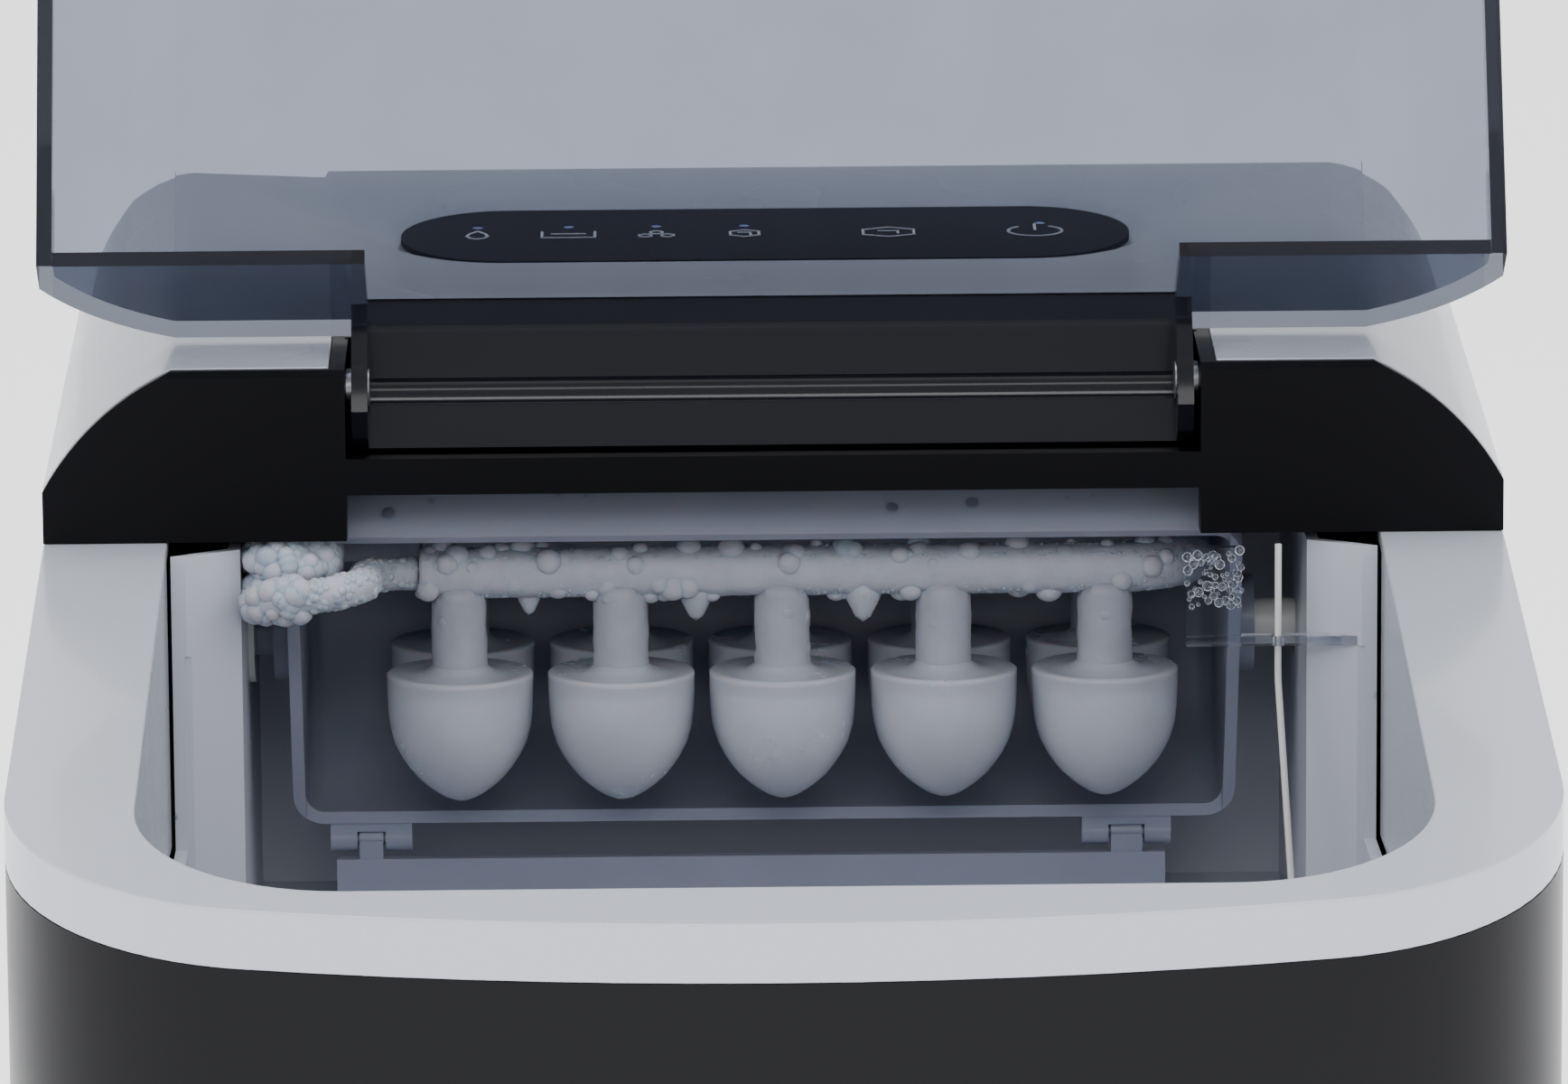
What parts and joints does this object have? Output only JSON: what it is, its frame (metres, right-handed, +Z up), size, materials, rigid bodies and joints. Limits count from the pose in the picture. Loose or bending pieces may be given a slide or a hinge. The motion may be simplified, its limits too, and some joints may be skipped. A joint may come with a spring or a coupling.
{
  "type": "countertop ice maker",
  "caption": "Countertop bullet-ice maker with a clear hinged lid, tipping water tray, cold fingers, ice pusher, lift-out basket and a compressor cooling set.",
  "frame": {"origin": "middle of the footprint on the surface that the feet stand on", "axes": "+X to the viewer's right seen from the front, +Y to the back, +Z up"},
  "size_m": [0.236, 0.32, 0.4522],
  "materials": {
    "black_shell": "satin black moulding",
    "grey_shell": "glossy light grey moulding",
    "smoked_clear": "clear smoked moulding",
    "panel_black": "gloss touch panel",
    "led": "LED lens",
    "circuit_green": "circuit board",
    "liner_white": "light grey moulding",
    "foam": "rigid foam",
    "tray_clear": "milky blue translucent moulding",
    "guard_clear": "clear moulding",
    "basket_clear": "translucent moulding",
    "nickel": "nickel plated copper",
    "copper": "drawn copper",
    "aluminium": "fin stock",
    "ice": "clear to milky ice",
    "zinc_steel": "zinc plated sheet",
    "black_steel": "black enamel",
    "dark_plastic": "matt black moulding",
    "white_plastic": "matt white moulding",
    "rubber": "matt rubber",
    "brass": "bright brass"
  },
  "bodies": {
    "cabinet": {"feet": "rubber", "base_pan": "zinc_steel", "body_shell": "black_shell", "rear_panel": "black_shell", "top_housing": "grey_shell", "control_overlay": "panel_black", "status_leds": "led", "control_board": "circuit_green", "hinge_fascia": "black_shell", "hinge_pins": "zinc_steel", "bin_liner": "liner_white", "bin_insulation": "foam", "ice_sensors": "dark_plastic", "evaporator_tube": "nickel", "evaporator_fingers": "nickel", "ice_bullets": "ice", "evaporator_guard": "guard_clear", "bin_sensor": "white_plastic", "tray_bush": "white_plastic", "tray_motor": "dark_plastic", "compressor": "black_steel", "compressor_core": "zinc_steel", "compressor_grommets": "rubber", "condenser_fins": "aluminium", "condenser_bends": "copper", "fan_shroud": "dark_plastic", "fan_motor": "zinc_steel", "suction_pipe": "copper", "feed_pipe": "copper", "solenoid_valve": "brass", "hot_gas_pipe": "copper", "discharge_pipe": "copper", "filter_drier": "copper", "capillary_tube": "copper", "water_pump": "dark_plastic", "pump_hose": "white_plastic", "drain_fitting": "dark_plastic", "main_board": "circuit_green", "power_inlet": "dark_plastic", "inlet_pins": "brass", "panel_screws": "zinc_steel"},
    "lid": {"lid": "smoked_clear"},
    "water_tray": {"water_tray": "tray_clear", "tray_coupler": "white_plastic"},
    "ice_pusher": {"ice_pusher": "tray_clear"},
    "ice_basket": {"ice_basket": "basket_clear"},
    "basket_handle": {"basket_handle": "basket_clear"},
    "fan": {"fan_blades": "white_plastic"},
    "impeller": {"pump_impeller": "white_plastic"},
    "drain_cap": {"drain_cap": "dark_plastic"}
  },
  "joints": [
    {"name": "lid_hinge", "type": "hinge", "parent": "cabinet", "child": "lid", "pos_m": [0, 0.004, 0.2873], "axis": [1, 0, 0], "range_deg": [0, 124]},
    {"name": "tray_tilt", "type": "hinge", "parent": "cabinet", "child": "water_tray", "pos_m": [0, 0.029, 0.2422], "axis": [1, 0, 0], "range_deg": [-104, 0]},
    {"name": "pusher_swing", "type": "hinge", "parent": "water_tray", "child": "ice_pusher", "pos_m": [0, 0.029, 0.207], "axis": [1, 0, 0], "range_deg": [0, 104]},
    {"name": "basket_lift", "type": "slide", "parent": "cabinet", "child": "ice_basket", "axis": [0, 0, 1], "range_m": [0, 0.26]},
    {"name": "bail_swing", "type": "hinge", "parent": "ice_basket", "child": "basket_handle", "pos_m": [0, -0.078, 0.193], "axis": [1, 0, 0], "range_deg": [-180, 0]},
    {"name": "fan_spin", "type": "hinge", "parent": "cabinet", "child": "fan", "pos_m": [0.061, 0.108, 0.085], "axis": [0, 1, 0], "continuous": true},
    {"name": "pump_spin", "type": "hinge", "parent": "cabinet", "child": "impeller", "pos_m": [0.058, 0.001, 0.05], "axis": [0, 1, 0], "continuous": true},
    {"name": "drain_cap_pull", "type": "slide", "parent": "cabinet", "child": "drain_cap", "axis": [-1, 0, 0], "range_m": [0, 0.03]}
  ],
  "couplings": [
    {"joint": "pusher_swing", "follows": "tray_tilt", "ratio": -1}
  ]
}
